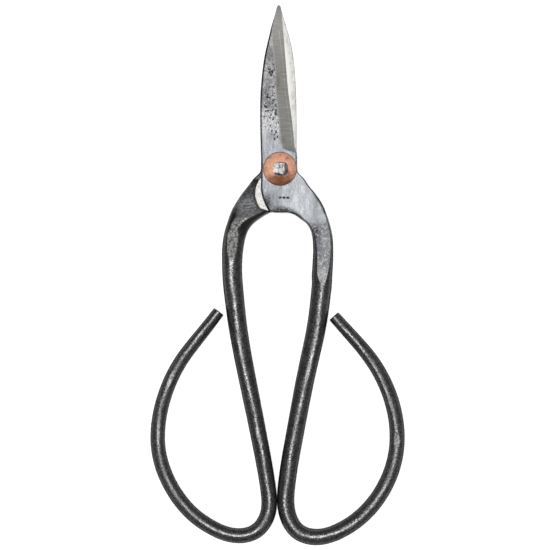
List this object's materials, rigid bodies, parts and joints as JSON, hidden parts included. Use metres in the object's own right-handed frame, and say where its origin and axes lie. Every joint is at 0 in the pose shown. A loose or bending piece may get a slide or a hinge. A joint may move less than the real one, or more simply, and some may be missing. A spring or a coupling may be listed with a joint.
{
  "type": "floral snips",
  "caption": "Hand-forged flower snips: two pointed bevelled blades crossed on a copper-washered rivet, with open round-rod bow handles.",
  "frame": {"origin": "on the pivot axis, in the flat foot of the rivet's tail, which is the lowest face when the snips lie down", "axes": "+Y from the pivot towards the blade tips, +Z along the pivot axis out of the rivet's hammered head, +X to the right seen from that head"},
  "size_m": [0.0893, 0.1898, 0.0101],
  "materials": {
    "forged_steel": "ground and brushed, with scale pits",
    "edge_steel": "fine ground",
    "black_scale": "black forge scale on steel, satin",
    "rivet_steel": "hammered bright",
    "copper": "stained copper, satin"
  },
  "bodies": {
    "back_half": {"back_blade": "forged_steel", "back_edge_steel": "edge_steel", "back_handle": "black_scale", "pivot_rivet": "rivet_steel", "front_washer": "copper", "back_washer": "copper"},
    "front_half": {"front_blade": "forged_steel", "front_edge_steel": "edge_steel", "front_handle": "black_scale"}
  },
  "joints": [
    {"name": "pivot", "type": "hinge", "parent": "back_half", "child": "front_half", "pos_m": [0, 0, 0.00498], "axis": [0, 0, 1], "range_deg": [0, 50]}
  ]
}
